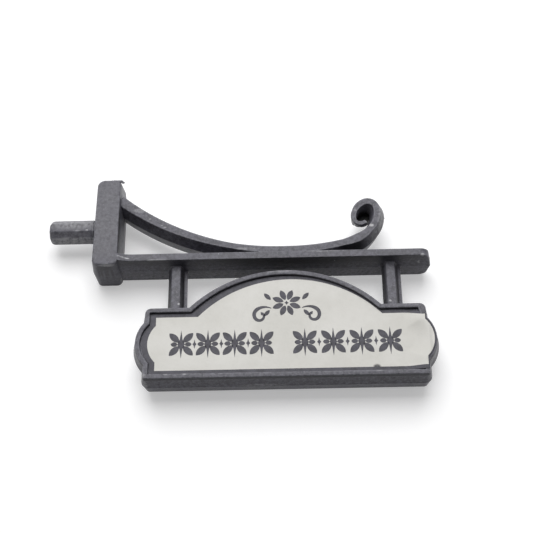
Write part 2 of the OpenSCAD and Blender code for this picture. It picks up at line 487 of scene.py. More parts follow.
    def draw_out(self, start: Place, way: Place, rungs: Sequence[Point]) -> None:
        """Draws the selected section out along an axis.

        Args:
            start: where the section stands now.
            way: the axis, one unit long.
            rungs: how far out each new section lies, and its size against the first.
        """
        reach, size = 0.0, 1.0
        for far, wide in rungs:
            self.extrude(*((far - reach) * a for a in way))
            centre = tuple(s + far * a for s, a in zip(start, way))
            self.resize(tuple(1 if a else wide / size for a in way), centre)
            reach, size = far, wide

    def crumb(self, place: Place, size: Place, seed: int) -> None:
        """Adds a small rough burr that sits half sunk in the surface."""
        self.clear()
        bpy.ops.mesh.primitive_ico_sphere_add(subdivisions=2, radius=1, location=place)
        self.resize(size, place)
        bpy.ops.transform.vertex_random(offset=CRUMB_ROUGH * min(size), uniform=1.0, seed=seed)

    def sweep(self, start: Point, heading: float, first: Bend, bends: list[Bend], front: float) -> Point:
        """Sweeps the selected section along a chain of bends.

        Args:
            start: where the centre line starts.
            heading: its direction in degrees, anticlockwise from +X.
            first: thickness, bulge and back depth of the section at the start.
            bends: the arcs to follow.
            front: depth of the front edge, which stays where it is.

        Returns:
            The end of the centre line, whose direction there is left in self.heading.
        """
        x, z = start
        angle = heading
        thick, bulge, back = first.thick, first.bulge, first.back
        for bend in bends:
            a = math.radians(angle)
            cx, cz = x - bend.radius * math.sin(a), z + bend.radius * math.cos(a)
            from_thick, from_bulge, from_back = thick, bulge, back
            for step in range(1, bend.steps + 1):
                part = step / bend.steps
                self.spin((cx, 0, cz), (0, 1, 0), bend.turn / bend.steps, 1)
                angle += bend.turn / bend.steps
                a = math.radians(angle)
                x, z = cx + bend.radius * math.sin(a), cz - bend.radius * math.cos(a)
                new_thick = from_thick + (bend.thick - from_thick) * part
                new_bulge = from_bulge + (bend.bulge - from_bulge) * part
                new_back = from_back + (bend.back - from_back) * part
                across = new_thick / thick
                deep = (new_back - front) / (back - front) if back > front else 1
                self.resize((across, deep, across), (x, front, z))
                if bulge:
                    swollen = (new_thick / 2 + new_bulge) / (thick / 2 + bulge)
                    self.stretch_middle(swollen / across, (x, front, z))
                thick, bulge, back = new_thick, new_bulge, new_back
        self.heading = angle
        return x, z

    def stretch_middle(self, factor: float, centre: Place) -> None:
        """Scales the mid-depth points of the selected section, then selects it all again."""
        mesh = self.mesh()
        layer = self.layer(mesh, "middle")
        section = [vert for vert in mesh.verts if vert.select]
        for vert in section:
            if not vert[layer]:
                vert.select_set(False)
        self.show(mesh)
        self.resize((factor, 1, factor), centre)
        for vert in section:
            vert.select_set(True)
        self.show(mesh)

    def done(self, angle: float = 35, flat: bool = True) -> bpy.types.Object:
        """Closes edit mode and finishes the mesh.

        Args:
            angle: edges sharper than this stay sharp.
            flat: keeps the large faces flat next to their rounded edges.

        Returns:
            The piece, at the origin, with its place in its mesh and its wear painted.
        """
        self.use(Kind.VERTS)
        self.pick_all()
        bpy.ops.mesh.remove_doubles(threshold=DOUBLE)
        bpy.ops.mesh.dissolve_degenerate(threshold=DOUBLE)
        bpy.ops.mesh.normals_make_consistent(inside=False)
        bpy.ops.object.mode_set(mode="OBJECT")
        bpy.ops.object.shade_smooth_by_angle(angle=math.radians(angle))
        self.paint_wear()
        if flat:
            bpy.ops.object.modifier_add(type="WEIGHTED_NORMAL")
            modifier = self.obj.modifiers[-1]
            modifier.keep_sharp = True
            bpy.ops.object.modifier_apply(modifier=modifier.name)
        self.obj.scale = (MM,) * 3
        bpy.ops.object.transform_apply(location=True, rotation=True, scale=True)
        return self.obj

    def paint_wear(self) -> None:
        """Writes how sharply the surface turns outwards at each point, 0 to 1, as the attribute wear."""
        least_step, full_turn = 0.02, 6.0
        mesh = bmesh.new()
        mesh.from_mesh(self.obj.data)
        values = []
        for vert in mesh.verts:
            most = 0.0
            for edge in vert.link_edges:
                if len(edge.link_faces) == 2 and edge.is_convex:
                    one, two = (face.calc_center_median() for face in edge.link_faces)
                    most = max(most, edge.calc_face_angle(0) / max((one - two).length, least_step))
            values.append(min(most / full_turn, 1.0))
        mesh.free()
        wear = self.obj.data.attributes.new("wear", "FLOAT", "POINT")
        wear.data.foreach_set("value", values)


class Graph:
    """The nodes of one material or world, and the short words that add and link them."""

    def __init__(self, owner: bpy.types.Material | bpy.types.World) -> None:
        """Empties the nodes of a new material or world.

        Args:
            owner: the material or world.
        """
        owner.use_nodes = True
        self.owner = owner
        self.tree = owner.node_tree
        self.tree.nodes.clear()

    def add(self, kind: str, inputs: dict | None = None, **settings: object) -> bpy.types.Node:
        """Adds a node.

        Args:
            kind: its type, without the words ShaderNode.
            inputs: a value or another node's output for each named or numbered socket.
            settings: the node's own options.

        Returns:
            The node.
        """
        node = self.tree.nodes.new("ShaderNode" + kind)
        for key, value in settings.items():
            setattr(node, key, value)
        for key, value in (inputs or {}).items():
            if isinstance(value, Socket):
                self.tree.links.new(value, node.inputs[key])
            else:
                node.inputs[key].default_value = value
        return node

    def places(self) -> Socket:
        """Returns the place on the piece in millimetres."""
        inputs = {"Vector": self.add("TexCoord").outputs["Object"], "Scale": (1 / MM,) * 3}
        return self.add("Mapping", inputs).outputs[0]

    def facing(self, axis: str) -> Socket:
        """Returns how far the surface faces along an axis of the piece, from -1 to 1."""
        return self.add("SeparateXYZ", {0: self.add("TexCoord").outputs["Normal"]}).outputs[axis]

    def depth(self, places: Socket) -> Socket:
        """Returns how far back a place lies, in millimetres."""
        return self.add("SeparateXYZ", {0: places}).outputs["Y"]

    def math(self, operation: str, *values: object) -> Socket:
        """Returns the result of a sum on one to three numbers."""
        return self.add("Math", dict(enumerate(values)), operation=operation).outputs[0]

    def noise(self, places: Socket, scale: float, detail: float, rough: float) -> Socket:
        """Returns cloudy noise about 0.5."""
        inputs = {"Vector": places, "Scale": scale, "Detail": detail, "Roughness": rough}
        return self.add("TexNoise", inputs).outputs[0]

    def ramp(self, value: object, low: float, high: float, to_low: float = 0, to_high: float = 1) -> Socket:
        """Returns a number carried from one range to another, held at both ends."""
        inputs = {0: value, 1: low, 2: high, 3: to_low, 4: to_high}
        return self.add("MapRange", inputs, clamp=True, interpolation_type="SMOOTHSTEP").outputs[0]

    def mix(self, factor: object, one: object, two: object) -> Socket:
        """Returns a colour between two colours."""
        one, two = ((*c, 1) if isinstance(c, tuple) else c for c in (one, two))
        return self.add("Mix", {"Factor": factor, "A": one, "B": two}, data_type="RGBA").outputs["Result"]

    def seen(self) -> Socket:
        """Returns 1 where the camera sees a place, also mirrored or through glass, and 0 elsewhere."""
        path = self.add("LightPath").outputs
        indirect = self.math("MAXIMUM", path["Is Glossy Ray"], path["Is Transmission Ray"])
        return self.math("MAXIMUM", path["Is Camera Ray"], indirect)

    def spot(self, places: Socket, place: Place, size: Place, strength: float) -> Socket:
        """Returns a soft spot about a place, which fades out at size."""
        inputs = {
            "Vector": places,
            "Location": tuple(-p / s for p, s in zip(place, size)),
            "Scale": tuple(1 / s for s in size),
        }
        moved = self.add("Mapping", inputs).outputs[0]
        reach = self.add("VectorMath", {0: moved}, operation="LENGTH").outputs["Value"]
        return self.ramp(reach, 0.35, 1.0, strength, 0)

    def finish(self, inputs: dict, height: Socket, depth: float) -> bpy.types.Material:
        """Adds the shader and the bump.

        Args:
            inputs: sockets of the shader.
            height: the surface's relief, from 0 to 1.
            depth: how many millimetres deep that relief is.

        Returns:
            The material.
        """
        bump = self.add("Bump", {"Height": height, "Distance": depth * MM, "Strength": 1.0})
        shader = self.add("BsdfPrincipled", {**inputs, "Normal": bump.outputs[0]})
        self.add("OutputMaterial", {0: shader.outputs[0]})
        return self.owner


@dataclass(frozen=True)
class TonePatch:
    """A spot of changed colour: a scuff, dust or painted highlight, or painted shade where pale is
    negative.

    place is its middle, size its half sizes and pale how pale it is, or, where that is negative,
    how deep its painted shade is. Painted shade leaves the front faces alone.
    """

    place: Place
    size: Place
    pale: float = 0.6


@dataclass(frozen=True)
class PlasticFinish:
    """Satin charcoal plastic with a fine grain, cloudy colour, rubbed edges, dust, painted highlights and
    painted shade.

    cloud, lumps and grain hold the scale, detail and roughness of its three noises, and relief how deep
    its surface is in millimetres.
    """

    dark: Colour = (0.048, 0.047, 0.057)
    light: Colour = (0.118, 0.116, 0.138)
    # Near black of painted shade, laid where shade falls
    deep: Colour = (0.004, 0.004, 0.005)
    rubbed: Colour = (0.27, 0.27, 0.3)
    # Pale colour of dust specks and of painted highlights
    dust_and_highlight: Colour = (0.55, 0.55, 0.56)
    roughness: float = 0.42
    shine: float = 0.3
    cloud: Noise = (0.5, 5, 0.62)
    lumps: Noise = (2.0, 4, 0.6)
    grain: Noise = (4.5, 3, 0.65)
    relief: float = 0.06

    def dress(self, piece: bpy.types.Object, tone_patches: Sequence[TonePatch] = (), mottle: float = 1.0) -> None:
        """Gives a piece its own material.

        Args:
            piece: the finished piece.
            tone_patches: pale spots, which are scuffs, dust and painted highlights, and deep spots of
                painted shade.
            mottle: how cloudy its colour is.
        """
        g = Graph(bpy.data.materials.new(piece.name + "_plastic"))
        at = g.places()
        cloud, lumps, grain = (g.noise(at, *own) for own in (self.cloud, self.lumps, self.grain))
        worn = g.add("Attribute", attribute_name="wear").outputs["Fac"]
        edge = g.math("MULTIPLY", worn, g.ramp(g.noise(at, 1.9, 4, 0.75), 0.36, 0.6, 0.12, 1.0))
        finer = g.math("MULTIPLY_ADD", lumps, 0.42, g.math("MULTIPLY", grain, 0.28))
        body = g.math("ADD", g.math("MULTIPLY", cloud, 0.3), finer)
        spread = 0.12 / mottle
        colour = g.mix(g.ramp(body, 0.5 - spread, 0.5 + spread), self.dark, self.light)
        colour = g.mix(g.ramp(grain, 0.58, 0.76, 0.0, 0.35), colour, self.rubbed)
        colour = g.mix(g.math("MULTIPLY", edge, 0.5), colour, self.rubbed)
        # Painted shade stays off the faces that look to the front, which take the light
        aside = g.math("MAXIMUM", g.ramp(g.facing("Y"), -0.85, -0.5), g.ramp(g.depth(at), -1.0, -0.4))
        cells = g.add("TexVoronoi", {"Vector": at, "Scale": 0.55, "Randomness": 1.0}).outputs["Distance"]
        pale = g.math("MULTIPLY", g.ramp(cells, 0.02, 0.05, 0.6, 0.0), g.ramp(cloud, 0.5, 0.56))
        deep = 0.0
        # Negative patches paint shade, near black and patchy; positive ones paint scuffs and painted
        # highlights
        for tone_patch in tone_patches:
            spot = g.spot(at, tone_patch.place, tone_patch.size, abs(tone_patch.pale))
            if tone_patch.pale < 0:
                off_front_shade = g.math("MULTIPLY", spot, aside)
                patchy = g.math("MULTIPLY", off_front_shade, g.ramp(lumps, 0.35, 0.6, 0.8, 1.0))
                deep = g.math("MAXIMUM", deep, patchy)
            else:
                patchy = g.math("MULTIPLY", spot, g.ramp(lumps, 0.35, 0.6, 0.3, 1.0))
                pale = g.math("MAXIMUM", pale, patchy)
        # Painted shade goes on first, then dust, scuffs and painted highlights over it
        colour = g.mix(pale, g.mix(deep, colour, self.deep), self.dust_and_highlight)
        cloudy = g.ramp(cloud, 0.3, 0.7, self.roughness - 0.05, self.roughness + 0.08)
        rough = g.math("ADD", cloudy, g.math("MULTIPLY", pale, 0.2))
        height = g.math("MULTIPLY_ADD", lumps, 0.7, g.math("MULTIPLY", grain, 0.3))
        inputs = {"Base Color": colour, "Roughness": rough, "IOR": IOR, "Specular IOR Level": self.shine}
        piece.data.materials.append(g.finish(inputs, height, self.relief))


@dataclass(frozen=True)
class FilmFinish:
    """Matt off-white printed film with a faint dot screen."""

    dark: Colour = (0.54, 0.53, 0.495)
    light: Colour = (0.6, 0.59, 0.56)
    grey: Colour = (0.36, 0.36, 0.365)
    # Dark colour of the smudge and of the painted shade along the crease
    smudge_and_crease_shade: Colour = (0.015, 0.015, 0.018)
    roughness: float = 0.5
    cloud: Noise = (0.18, 4, 0.55)
    fibre: Noise = (5.0, 3, 0.6)
    relief: float = 0.02

    def material(self, smudges_and_crease_shade: Sequence[TonePatch] = ()) -> bpy.types.Material:
        """Makes the material.

        Args:
            smudges_and_crease_shade: dark spots on the film, a smudge and painted shade along a crease.

        Returns:
            The material.
        """
        g = Graph(bpy.data.materials.new("pale_film"))
        at = g.places()
        cloud, fibre = g.noise(at, *self.cloud), g.noise(at, *self.fibre)
        screen = g.add("TexVoronoi", {"Vector": at, "Scale": 3.2, "Randomness": 0.15}).outputs["Distance"]
        colour = g.mix(g.ramp(cloud, 0.32, 0.68), self.dark, self.light)
        colour = g.mix(g.ramp(screen, 0.1, 0.5, 0.05, 0.0), colour, self.grey)
        colour = g.mix(g.ramp(fibre, 0.52, 0.8, 0.0, 0.10), colour, self.grey)
        for film_mark in smudges_and_crease_shade:
            spot = g.spot(at, film_mark.place, film_mark.size, film_mark.pale)
            patchy = g.math("MULTIPLY", spot, g.ramp(fibre, 0.3, 0.5, 0.8, 1.0))
            colour = g.mix(patchy, colour, self.smudge_and_crease_shade)
        rough = g.ramp(fibre, 0.3, 0.7, self.roughness - 0.05, self.roughness + 0.1)
        height = g.math("MULTIPLY_ADD", cloud, 0.7, g.math("MULTIPLY", fibre, 0.3))
        return g.finish({"Base Color": colour, "Roughness": rough, "IOR": IOR}, height, self.relief)


@dataclass(frozen=True)
class InkFinish:
    """Dark grey printing ink that lets a little of the film through."""

    deep: Colour = (0.034, 0.033, 0.042)
    thin: Colour = (0.066, 0.064, 0.08)
    bare: Colour = (0.22, 0.22, 0.24)
    roughness: float = 0.48
    shine: float = 0.3
    cloud: Noise = (1.1, 4, 0.6)
    fibre: Noise = (8.0, 3, 0.6)
    relief: float = 0.008

    def material(self) -> bpy.types.Material:
        """Makes the material and returns it."""
        g = Graph(bpy.data.materials.new("printed_ink"))
        at = g.places()
        cloud, fibre = g.noise(at, *self.cloud), g.noise(at, *self.fibre)
        colour = g.mix(g.ramp(cloud, 0.3, 0.7), self.deep, self.thin)
        colour = g.mix(g.ramp(fibre, 0.55, 0.8, 0.0, 0.3), colour, self.bare)
        rough = g.ramp(fibre, 0.3, 0.7, self.roughness - 0.05, self.roughness + 0.1)
        inputs = {"Base Color": colour, "Roughness": rough, "IOR": IOR, "Specular IOR Level": self.shine}
        return g.finish(inputs, fibre, self.relief)


def hand_over(piece: bpy.types.Object, slot: Slot, *nodes: str) -> None:
    """Puts a finished piece on the frame.

    Args:
        piece: the finished piece.
        slot: the record's finish that it takes; not used.
        nodes: nodes of the frame that it stands for.
    """
    if nodes:
        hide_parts(*nodes)
    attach(piece, BODY)
    piece.select_set(False)
    log.info("%s: %d faces", piece.name, len(piece.data.polygons))


@dataclass
class WallFixing:
    """Eight-sided peg that enters the wall, and the plate that bears on it."""

    finish: PlasticFinish
    peg_radius: float = 1.6
    peg_length: float = 6.03
    peg_root: float = 0.3
    nose: float = 0.66
    plate_out: float = 3.7
    plate_half: float = 3.0
    plate_foot: float = -6.6
    plate_top: float = 6.34
    draft: float = 0.2
    end_draft: float = 0.06
    wall_corner: float = 0.95
    wall_foot: float = 0.72
    face_corner: float = 0.4
    face_foot: float = 0.75
    top_taper: tuple[float, float] = (0.18, -0.15)
    foot_streaks: tuple[Point, ...] = ((0.9, -1.4), (1.22, -0.9), (1.75, -0.4), (1.98, -1.4), (2.6, -0.9))
    front_edge: float = 0.24

    def build(self) -> None:
        """Builds the peg and the plate."""
        self.peg()
        self.plate()

    def peg(self) -> None:
        """Draws the peg out from the plate and rounds its nose."""
        b = Blank("moulded_peg")
        r, n, root = self.peg_radius, self.nose, self.peg_root
        b.eight_sided(r, 0.13, (root, 0, 0))
        straight = root + self.peg_length - n
        rungs = [(0.3, 0.93), (0.4, 0.93), (0.46, 0.985), (0.6, 1), (2.6, 1), (straight, 1)]
        for turn in range(15, 91, 15):
            a = math.radians(turn)
            rungs.append((straight + n * math.sin(a), 1 - n / r * (1 - math.cos(a))))
        b.draw_out((root, 0, 0), (-1, 0, 0), rungs)
        piece = b.done(angle=40)
        tone_patches = [
            TonePatch((-1.0, -1.48, -0.5), (0.22, 0.4, 0.16), 0.9),
            TonePatch((-2.1, -1.48, -0.55), (0.9, 0.3, 0.12), 0.35),
            TonePatch((-5.3, -1.2, 0.9), (0.6, 0.6, 0.5), 0.3),
            # Painted highlights: a lighter band along the top, a faint one across the middle and a lighter
            # band along the underside, lit from the table
            TonePatch((-2.8, -1.4, 0.6), (4.8, 0.9, 1.2), 0.3),
            TonePatch((-2.8, -1.2, -0.9), (4.6, 0.6, 0.5), 0.08),
            TonePatch((-2.8, -0.3, -1.5), (4.8, 1.4, 0.5), 0.5),
            # Painted shade round the root, where the peg meets the plate
            TonePatch((0.0, 0.0, 0.0), (0.2, 3.0, 3.0), -0.9),
        ]
        self.finish.dress(piece, tone_patches, mottle=0.7)
        hand_over(piece, Slot.PLASTIC, "wall_peg")

    def plate(self) -> None:
        """Cuts the plate from a block and drafts and rounds it."""
        b = Blank("moulded_plate")
        half, out = self.plate_half, self.plate_out
        b.block((0, -half, self.plate_foot), (out, half, self.plate_top))
        middle = (out / 2, 0, (self.plate_top + self.plate_foot) / 2)
        b.cut_parting()
        height = self.plate_top - self.plate_foot
        b.pick(Kind.VERTS, lambda at, way: abs(at.y) > 1)
        b.resize(((out - 2 * self.draft) / out, 1, (height - 2 * self.end_draft) / height), middle)
        for step, side in zip(self.top_taper, (-1, 1)):
            b.pick(Kind.VERTS, lambda at, way: at.y < -1 and at.z > 3 and side * (at.x - middle[0]) > 0)
            b.move(step, 0, 0)
        corners = (
            (self.wall_corner, 9, -1, 1),
            (self.wall_foot, 9, -1, -1),
            (self.face_corner, 6, 1, 1),
            (self.face_foot, 6, 1, -1),
        )
        for radius, parts, side, end in corners:
            b.pick(
                Kind.EDGES,
                lambda at, way: abs(way.y) > 0.9 and side * (at.x - middle[0]) > 1 and end * at.z > 0,
            )
            b.bevel(radius, parts)
        b.pick(Kind.EDGES, lambda at, way: at.y < 0.1 - half)
        b.bevel(self.front_edge, 6)
        b.bevel_sharp(0.06, 2)
        for place, size, seed in self.burrs():
            b.crumb(place, size, seed)
        piece = b.done()
        tone_patches = [
            # Painted highlights: a lit patch high on the right wall, a fainter lit strip lower on it,
            # lit lines along the front's bottom and left edges, and a faint pale wash over the front
            TonePatch((3.7, -1.2, 5.3), (0.5, 1.9, 1.8), 0.65),
            TonePatch((3.75, -0.9, -2.0), (0.4, 1.3, 5.0), 0.2),
            TonePatch((2.1, -2.6, -6.5), (1.4, 0.5, 0.2), 0.5),
            TonePatch((0.5, -2.6, 2.0), (0.5, 0.6, 4.5), 0.2),
            TonePatch((1.8, -3.0, 0.5), (3.5, 0.5, 9.0), 0.06),
            # Painted shade on the foot's end face, darker streaks across it, painted shade down the right
            # front edge
            # and a dark line along the flash on top
            TonePatch((1.7, -1.9, -6.7), (1.7, 0.9, 0.7), -0.7),
            *(TonePatch((x, y, -6.62), (0.24, 2.1, 0.3), -0.5) for x, y in self.foot_streaks),
            TonePatch((3.5, -2.8, -1.8), (0.35, 0.9, 6.0), -0.95),
            TonePatch((2.9, -2.7, 6.3), (1.3, 0.5, 0.25), -0.9),
        ]
        self.finish.dress(piece, tone_patches, mottle=0.5)
        hand_over(piece, Slot.PLASTIC, "wall_plate")

    def burrs(self) -> list[tuple[Place, Place, int]]:
        """Returns the place, half sizes and seed of each scrap of flash on the plate."""
        top, foot = self.plate_top - 0.14, self.plate_foot + 0.12
        found = []
        for k in range(4):
            size = (0.2, 0.09 + 0.02 * (k % 2), 0.07 + 0.02 * (k % 3))
            found.append(((1.3 + 0.3 * k, -2.75, top), size, k))
        for k in range(5):
            size = (0.24, 0.12, 0.08 + 0.02 * (k % 2))
            found.append(((2.3 + 0.27 * k, -2.8, top + 0.02), size, 4 + k))
        found.append(((3.4, -2.76, top - 0.08), (0.32, 0.18, 0.2), 11))
        found.append(((3.68, -2.68, top - 0.2), (0.2, 0.17, 0.17), 12))
        for k in range(4):
            found.append(((1.0 + 0.4 * k, -2.94, foot), (0.2, 0.04, 0.05), 30 + k))
        return found


@dataclass
class Beam:
    """Flat bar that stands out from the plate, with a rounded free end."""

    finish: PlasticFinish
    root: float = 3.36
    end: float = 43.85
    half: float = 2.65
    bottom: float = -6.14
    top: float = -4.81
    face_height: float = 0.99
    end_draft: float = 0.45
    end_radius: float = 0.9
    root_flare: tuple[Point, ...] = ((5.0, 0), (4.4, 0.08), (3.95, 0.12), (3.6, 0.145))
    parting_lift: float = 0.04

    def build(self) -> None:
        """Cuts the bar from a block and drafts and rounds it."""
        b = Blank("beam_bar")
        b.block((self.root, -self.half, self.bottom), (self.end, self.half, self.top))
        b.cut_parting()
        middle = (self.root, 0, (self.top + self.bottom) / 2)
        b.pick(Kind.VERTS, lambda at, way: abs(at.y) > 1)
        b.resize((1, 1, self.face_height / (self.top - self.bottom)), middle)
        b.pick(Kind.VERTS, lambda at, way: abs(at.y) > 1 and at.x > 20)
        b.move(-self.end_draft, 0, 0)
        b.pick(Kind.EDGES, lambda at, way: abs(way.z) > 0.9 and at.x > 40 and abs(at.y) > 1)
        b.bevel(self.end_radius, 7)
        for x, forward in self.root_flare:
            b.cut((x, 0, 0), (1, 0, 0))
            b.pick(Kind.VERTS, lambda at, way: at.x < x + 0.01 and at.y < -1)
            b.move(0, -forward, 0)
        b.bevel_sharp(0.09, 3)
        b.pick(Kind.VERTS, lambda at, way: abs(at.y) < 0.03)
        bpy.ops.transform.shrink_fatten(value=self.parting_lift)
        b.crumb((41.75, -0.2, self.top + 0.02), (0.3, 0.25, 0.1), 21)
        b.crumb((self.end - 0.06, 0.1, -5.2), (0.1, 0.25, 0.3), 22)
        piece = b.done()
        tone_patches = [
            TonePatch((4.05, -2.8, -5.45), (0.4, 0.4, 0.11), 1.0),
            TonePatch((4.4, -2.75, -5.54), (0.36, 0.4, 0.1), 0.9),
            TonePatch((4.75, -2.7, -5.62), (0.42, 0.4, 0.09), 1.0),
            TonePatch((3.6, -2.95, -5.36), (0.3, 0.3, 0.08), 0.6),
            # Painted shade under the middle, where the arch comes close below; the back half of the
            # underside painted
            # lighter, as lit from the table; painted shade along the front of the underside at the left
            TonePatch((27.0, -2.5, -6.1), (20.0, 2.3, 0.9), -0.95),
            TonePatch((24.0, 1.9, -6.14), (40.0, 1.8, 0.5), 0.14),
            TonePatch((8.0, -2.6, -6.0), (9.0, 1.9, 0.8), -0.6),
            TonePatch((42.7, -2.55, -5.9), (0.35, 0.4, 0.3), 0.75),
            TonePatch((42.3, -1.0, -6.15), (0.25, 0.5, 0.2), 0.6),
            TonePatch((8.5, -2.65, -5.9), (1.8, 0.3, 0.18), 0.3),
            TonePatch((30.0, -2.65, -5.1), (3.5, 0.3, 0.15), 0.25),
        ]
        self.finish.dress(piece, tone_patches)
        hand_over(piece, Slot.PLASTIC, "beam")


@dataclass
class ScrollBrace:
    """Curved bar from the plate down to the beam and up again into a curl."""

    finish: PlasticFinish
    foot: Point = (3.7, 3.37)
    heading: float = -39.76
    foot_radius: float = 33.77
    front: float = -2.1
    back: float = 2.1
    start: Bend = Bend(0, 0, 1.36, 0, 0.5, 2.1)
    sunk: float = 0.45
    tip: float = 0.4
    tip_depth: float = -0.4
    # A disc set back in the curl's hole that stands in for the shade there: its place, radius and thickness
    shade_disc: Place = (35.35, 0.8, 1.75)
    shade_disc_radius: float = 1.13
    shade_disc_thick: float = 0.9

    def bends(self) -> list[Bend]:
        """Returns the chain of arcs from the foot to the tip of the curl."""
        r, a = self.foot_radius, -self.heading
        return [
            Bend(r, a * 0.35, 1.11, 12, 0.5, 2.1),
            Bend(r, a * 0.35, 0.86, 12, 0.5, 2.1),
            Bend(r, a * 0.3, 1.14, 12, 0.5, 2.1),
            Bend(30.5, 14, 1.0, 9, 0.5, 2.0),
            Bend(9.5, 12.5, 1.25, 6, 0.5, 1.8),
            Bend(5.37, 22.5, 0.9, 8, 0.5, 1.6),
            Bend(4.13, 39, 0.92, 12, 0.52, 1.4),
            Bend(2.1, 30, 0.86, 10, 0.5, 1.3),
            Bend(1.11, 82, 0.92, 18, 0.36, 1.3),
            Bend(2.24, 30, 0.82, 7, 0.2, 0.6),
            Bend(2.24, 57, 0.44, 12, 0.04, -0.6),
            Bend(0.88, 16, 0.44, 4, 0.03, -1.1),
            Bend(0.72, 72, 0.5, 14, 0.02, -1.5),
            Bend(1.2, 17, 0.48, 4, 0.02, -1.5),
        ]

    def half_section(self) -> list[Point]:
        """Returns half of the section at the foot: how far out and how deep each point lies."""
        half, bulge = self.start.thick / 2, self.start.bulge
        side = half + bulge
        return [
            (half * 0.55, self.front),
            (half * 0.86, self.front + 0.01),
            (half * 0.97, self.front + 0.06),
            (half + 0.02, self.front + 0.16),
            (side - 0.045, -0.46),
            (side, -0.36),
            (side - 0.045, -0.26),
            (half + 0.02, self.back - 0.16),
            (half * 0.96, self.back - 0.05),
            (half * 0.84, self.back),
        ]

    def build(self) -> None:
        """Draws the section and sweeps it along the arcs."""
        b = Blank("brace_scroll")
        a = math.radians(self.heading)
        along = (math.cos(a), math.sin(a))
        out = (-math.sin(a), math.cos(a))
        x0, z0 = self.foot[0] - self.sunk * along[0], self.foot[1] - self.sunk * along[1]
        half = self.half_section()
        points = half + [(-n, y) for n, y in reversed(half)]
        n, y = points[0]
        b.dot(x0 + n * out[0], y, z0 + n * out[1])
        for (n0, y0), (n1, y1) in zip(points, points[1:]):
            b.extrude((n1 - n0) * out[0], y1 - y0, (n1 - n0) * out[1])
        b.join_ends()
        mesh = b.mesh()
        layer = b.layer(mesh, "middle")
        for vert in mesh.verts:
            vert[layer] = int(-0.5 < (b.obj.matrix_world @ vert.co).y < -0.2)
        bmesh.update_edit_mesh(b.obj.data)
        b.use(Kind.VERTS)
        b.pick_all()
        b.extrude(self.foot[0] - x0, 0, self.foot[1] - z0)
        end = b.sweep(self.foot, self.heading, self.start, self.bends(), self.front)
        self.round_tip(b, end)
        bpy.ops.mesh.select_mode(type="EDGE")
        b.clear()
        bpy.ops.mesh.select_non_manifold(extend=False)
        bpy.ops.mesh.fill_holes(sides=0)
        b.clear()
        # The disc set back in the curl's hole stands in for the shade there, and takes painted shade too
        bpy.ops.mesh.primitive_cylinder_add(
            vertices=48,
            radius=self.shade_disc_radius,
            depth=self.shade_disc_thick,
            location=self.shade_disc,
            rotation=(math.radians(90), 0, 0),
        )
        b.crumb((38.22, -0.4, 0.91), (0.1, 0.16, 0.12), 41)
        piece = b.done(angle=32, flat=False)
        tone_patches = [
            TonePatch((9.45, -2.1, -0.7), (0.3, 0.3, 0.1), 0.9),
            TonePatch((9.0, -2.1, -0.45), (0.2, 0.3, 0.1), 0.6),
            TonePatch((7.4, -2.1, 0.6), (0.25, 0.3, 0.12), 0.4),
            TonePatch((36.42, -2.1, -1.06), (0.4, 0.3, 0.35), 0.75),
            TonePatch((34.38, -2.1, 1.29), (0.3, 0.3, 0.3), 0.25),
            TonePatch((35.83, -2.1, -0.48), (0.26, 0.4, 0.3), 0.55),
            TonePatch((38.0, -1.0, 0.4), (1.2, 2.0, 3.4), 0.42),
            TonePatch((36.9, -0.6, -2.0), (1.0, 2.0, 1.6), 0.16),
            # Painted shade in the curl's hole and under the brace where it comes down near the beam
            TonePatch((35.6, 0.4, 1.0), (2.4, 2.6, 2.4), -1.0),
            TonePatch((33.9, -1.6, -3.9), (3.0, 2.4, 1.3), -0.9),
            TonePatch((6.0, -2.1, 1.9), (1.2, 0.3, 0.4), 0.3),
            TonePatch((20.0, -2.1, -4.2), (2.5, 0.3, 0.25), 0.25),
        ]
        self.finish.dress(piece, tone_patches)
        hand_over(piece, Slot.PLASTIC, "scroll_brace")

    def round_tip(self, b: Blank, end: Point) -> None:
        """Rounds off the end of the curl.

        Args:
            b: the brace, with its last section selected.
            end: end of its centre line.
        """
        a = math.radians(b.heading)
        last, width = 0.0, 1.0
        for part in (25, 45, 62, 75, 84):
            rise, keep = math.sin(math.radians(part)), math.cos(math.radians(part))
            step, far = self.tip * (rise - last), self.tip * rise
            b.extrude(step * math.cos(a), 0, step * math.sin(a))
            across = keep / width
            centre = (end[0] + far * math.cos(a), self.tip_depth, end[1] + far * math.sin(a))
            b.resize((across, 1 - (1 - across) / 4, across), centre)
            last, width = rise, keep


